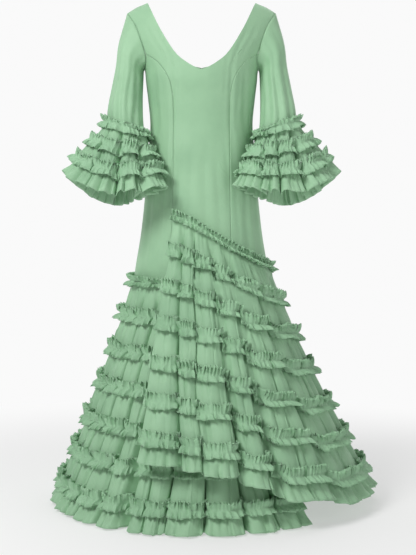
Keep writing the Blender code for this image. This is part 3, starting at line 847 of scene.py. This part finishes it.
# %% The cuffs' measures
CUFF_ROWS = (0.0, 0.35, 0.68, 1.0)
CUFF_LENGTH = 0.170
CUFF_GAP = 0.0055
SLEEVE_LENGTH = 0.230
CUFF_TIER_ROWS = 7
CUFF_RUFFLE_WIDTH = 0.036
CUFF_RUFFLE_STAND = 0.007
CUFF_TIER_STEP, CUFF_RUFFLE_STEP = 0.0024, 0.0015
CUFF_PLEAT, CUFF_PLEAT_DEPTH = 0.0088, 0.0132
CUFF_HEADING_DEPTH = 1.25
CUFF_FLUTES = (0.036, 0.0190, 0.060)
CUFF_DEEPER = 1.55
CUFF_LEAN = 0.15
HIP_CLEARANCE = 0.005
CUFF_HEM = table(
    "angle x y height",
    (0, 0.372, -0.070, 0.904), (22, 0.352, -0.125, 0.880), (45, 0.310, -0.170, 0.863),
    (68, 0.262, -0.192, 0.842), (90, 0.222, -0.197, 0.843), (112, 0.180, -0.193, 0.846),
    (135, 0.142, -0.185, 0.850), (158, 0.106, -0.172, 0.856), (178, 0.088, -0.152, 0.857),
    (200, 0.104, -0.130, 0.850), (222, 0.142, -0.102, 0.838), (245, 0.184, -0.050, 0.824),
    (270, 0.232, 0.010, 0.815), (295, 0.285, 0.030, 0.828), (318, 0.330, 0.010, 0.855),
    (340, 0.360, -0.030, 0.885), (360, 0.372, -0.070, 0.904),
)
CUFF_VALLEYS = {
    "right": table("angle depth floor", (18, 0.016, 0.04), (48, 0.016, 0.04), (87, 0.024, 0.10),
                   (131, 0.020, 0.08), (172, 0.010, 0.02), (208, 0.008, 0.02),
                   (242, 0.012, 0.03), (276, 0.016, 0.04), (314, 0.016, 0.04)),
    "left": table("angle depth floor", (22, 0.016, 0.04), (60, 0.022, 0.07), (100, 0.018, 0.05),
                  (128, 0.018, 0.06), (168, 0.010, 0.02), (204, 0.008, 0.02),
                  (240, 0.012, 0.03), (280, 0.016, 0.04), (324, 0.016, 0.04)),
}


def cuff_stops(valleys):
    """Angles of a cuff's valleys, and the first again after a full turn."""
    return np.append(valleys["angle"], valleys["angle"][0] + 360)


def cuff_line(side, valleys, place, along, out, slide):
    """Points of one ring of a cuff, drawn in at its valleys."""
    stops = cuff_stops(valleys)
    angle = np.interp(place, np.arange(len(stops)), stops) % 360
    depths = CUFF_DEEPER * np.append(valleys["depth"], valleys["depth"][0]) * max(along, 0.0)**0.5
    floors = np.append(valleys["floor"], valleys["floor"][0])
    near, inward, lean = drawn_in(place, depths, floors)
    depth = depths[near]
    share = 1 + min(along, 0.0) * CUFF_LENGTH / SLEEVE_LENGTH
    head = sleeve_ring(share, angle)
    middle = np.array([read(SLEEVE, share, c) for c in ("centre_x", "centre_y", "height")])
    hem = np.stack([read(CUFF_HEM, angle, column) for column in ("x", "y", "height")], axis=-1)
    ray = head - middle
    fall = hem - head
    round_way = np.stack([-np.sin(np.radians(angle)), -np.cos(np.radians(angle)),
                          np.zeros_like(angle)], axis=-1)
    outward = np.cross(fall, round_way)
    outward *= np.sign((outward * ray).sum(axis=-1))[:, None]
    if along < 0:
        outward = ray
    outward = outward / np.linalg.norm(outward, axis=-1, keepdims=True)
    spot = head + fall * max(along, 0.0)
    spot = spot + outward * (CUFF_GAP + out - depth * inward)[:, None]
    spot = spot + round_way * (slide + CUFF_LEAN * depth * lean)[:, None]
    half_width = read(BODY, spot[:, 2], "half_width")
    front, back = (read(BODY, spot[:, 2], face) for face in ("front", "back"))
    deep = np.where(spot[:, 1] < 0, front, back)
    hip = half_width * np.sqrt(np.clip(1 - (spot[:, 1] / deep)**2, 0, 1)) + HIP_CLEARANCE
    beside = np.abs(spot[:, 1]) < deep
    spot[:, 0] = np.where(beside, np.maximum(spot[:, 0], hip), spot[:, 0])
    return spot * (side, 1, 1) - (0, 0, SHOULDER_HEIGHT)


def cuff_places(side, valleys, along, step):
    """Places round a cuff about one step apart, and the distance covered at each."""
    stops = cuff_stops(valleys)
    rough = cuff_line(side, valleys, np.linspace(0, len(stops) - 1, 400), along, 0.0, 0.0)
    girth = np.linalg.norm(np.diff(rough, axis=0), axis=1).sum()
    place = fold_columns(np.diff(stops) / 360 * girth, np.zeros(len(stops)), step)
    return place, travelled(cuff_line(side, valleys, place, along, 0.0, 0.0))


def ring_closed(values, distance):
    """Fades a move near the ring's end into its value at the start."""
    t = smooth((distance - (distance[-1] - 0.02)) / 0.02)
    return mix(values, values[0], t)


# %% [markdown]
# The three tiers and three ruffles of a cuff come from the same functions as the skirt's. Only
# the hem is fluted more, because a short cuff ends in many small tubes.

# %% Both cuffs
for name, side in (("left", 1), ("right", -1)):
    valleys = CUFF_VALLEYS[name]
    seed = 3000 + 500 * (side > 0)
    for k, (start, end) in enumerate(zip(CUFF_ROWS, CUFF_ROWS[1:]), 1):
        place, distance = cuff_places(side, valleys, (start + end) / 2, CUFF_TIER_STEP)
        points = np.empty((len(place), CUFF_TIER_ROWS + 1, 3))
        last = k == len(CUFF_ROWS) - 1
        length = (end - start) * CUFF_LENGTH
        for row in range(CUFF_TIER_ROWS + 1):
            t = row / CUFF_TIER_ROWS
            window = 1.0 if last else smooth((1 - t) * 4)
            out = 0.85 * tucks(distance, t * length, length, seed + 20 * k, last)
            if last:
                out = out + gathers(distance, (1 - t) * length, *CUFF_FLUTES, seed + 9)
                out = out + 0.010 * t
            out = ring_closed(out, distance)
            slide = 0.0014 * uneven(distance, 0.012, seed + 20 * k + 11)
            slide = ring_closed(slide, distance) * window
            points[:, row] = cuff_line(side, valleys, place, mix(start, end, t), out, slide)
        points[-1] = points[0]
        cloth(f"cuff_tier_{k}_{name}_cloth", points, [f"cuff_tier_{k}_{name}"], flounce_poplin,
              hems="bottom" if last else "", closed=True)
        place, distance = cuff_places(side, valleys, start, CUFF_RUFFLE_STEP)
        points = np.empty((len(place), RUFFLE_ROWS + 1, 3))
        deep = CUFF_PLEAT_DEPTH * (CUFF_HEADING_DEPTH if k == 1 else 1.0)
        for row in range(RUFFLE_ROWS + 1):
            w = 2 * row / RUFFLE_ROWS - 1
            moves = ruffle_moves(w, distance, seed + 100 * k, CUFF_RUFFLE_STAND, CUFF_PLEAT, deep)
            out, slide, down = (ring_closed(move, distance) for move in moves)
            along = start + w * CUFF_RUFFLE_WIDTH / 2 / CUFF_LENGTH
            points[:, row] = cuff_line(side, valleys, place, along, APPLIED_GAP + out, slide)
            points[:, row, 2] -= down
        points[-1] = points[0]
        cloth(f"cuff_ruffle_{k}_{name}_cloth", points, [f"cuff_ruffle_{k}_{name}"], ruffle_poplin,
              hems="top bottom", closed=True)
print("pieces", len(made), "faces", sum(len(piece.data.polygons) for piece in made))

# %% [markdown]
# The studio is plain: a pale floor that brightens with distance until it meets a pale wall, one
# large soft light high on the left, a weaker one on the right and one overhead. The rest of the
# world is dim, so that valleys stay dark. The camera stands low, with a fairly long lens, so the
# skirt isn't stretched.

# %% Studio and camera
FLOOR = -SHOULDER_HEIGHT - 0.002
PALE = 0.955


def backdrop(name, size, place, turned=0.0):
    """A large plain sheet with its own matt material; gives the material's nodes."""
    bpy.ops.mesh.primitive_plane_add(size=size, location=place, rotation=(turned, 0, 0))
    sheet = bpy.context.object
    sheet.name = name
    paint = bpy.data.materials.new(name)
    paint.use_nodes = True
    dial(paint.node_tree.nodes["Principled BSDF"],
         {"Specular IOR Level": 0.0, "Emission Strength": 1.0})
    sheet.data.materials.append(paint)
    return paint.node_tree


tree = backdrop("studio_floor", 60, (0, 0, FLOOR))
nodes, links = tree.nodes, tree.links
shade = nodes["Principled BSDF"]
dial(shade, {"Roughness": 0.9})
where = nodes.new("ShaderNodeTexCoord")
reach = nodes.new("ShaderNodeVectorMath")
reach.operation = "LENGTH"
links.new(where.outputs["Object"], reach.inputs[0])
for socket, near, far in (("Base Color", 0.50, 0.0), ("Emission Color", 0.44, PALE)):
    fade = nodes.new("ShaderNodeMapRange")
    fade.interpolation_type = "SMOOTHSTEP"
    dial(fade, {"From Min": 0.5, "From Max": 1.9, "To Min": near, "To Max": far})
    links.new(reach.outputs["Value"], fade.inputs["Value"])
    links.new(fade.outputs["Result"], shade.inputs[socket])
tree = backdrop("studio_wall", 90, (0, 28, 0), pi / 2)
dial(tree.nodes["Principled BSDF"],
     {"Base Color": (0, 0, 0, 1), "Emission Color": (PALE, PALE, PALE, 1)})

world = bpy.data.worlds.new("studio")
world.use_nodes = True
dial(world.node_tree.nodes["Background"], {"Color": (1.0, 0.995, 0.99, 1), "Strength": 0.12})
bpy.context.scene.world = world
bpy.context.scene.view_settings.view_transform = "Standard"

LIT_SPOT = (0, 0, -0.6)
LIGHTS = (
    # name, place, size, power
    ("key", (-2.0, -2.4, 1.6), 1.3, 98),
    ("fill", (2.4, -2.2, 0.1), 1.6, 20),
    ("overhead", (0.0, 0.3, 2.4), 2.2, 24),
)
for name, place, size, power in LIGHTS:
    light = bpy.data.lights.new(name, "AREA")
    light.size = size
    light.energy = power
    lamp = bpy.data.objects.new(name, light)
    bpy.context.scene.collection.objects.link(lamp)
    lamp.location = place
    aim = Vector(LIT_SPOT) - Vector(place)
    lamp.rotation_euler = aim.to_track_quat("-Z", "Y").to_euler()

CAMERA_LOW, CAMERA_BACK, TIPPED = 0.70, 2.85, 1.7
view = bpy.data.cameras.new("camera")
view.lens, view.sensor_width, view.shift_x = 66.7, 36, 0.0117
camera = bpy.data.objects.new("camera", view)
bpy.context.scene.collection.objects.link(camera)
camera.location = (0, -CAMERA_BACK, CAMERA_LOW - SHOULDER_HEIGHT)
camera.rotation_euler = (radians(90 - TIPPED), 0, 0)
bpy.context.scene.camera = camera
print("camera and", len(LIGHTS), "lights")
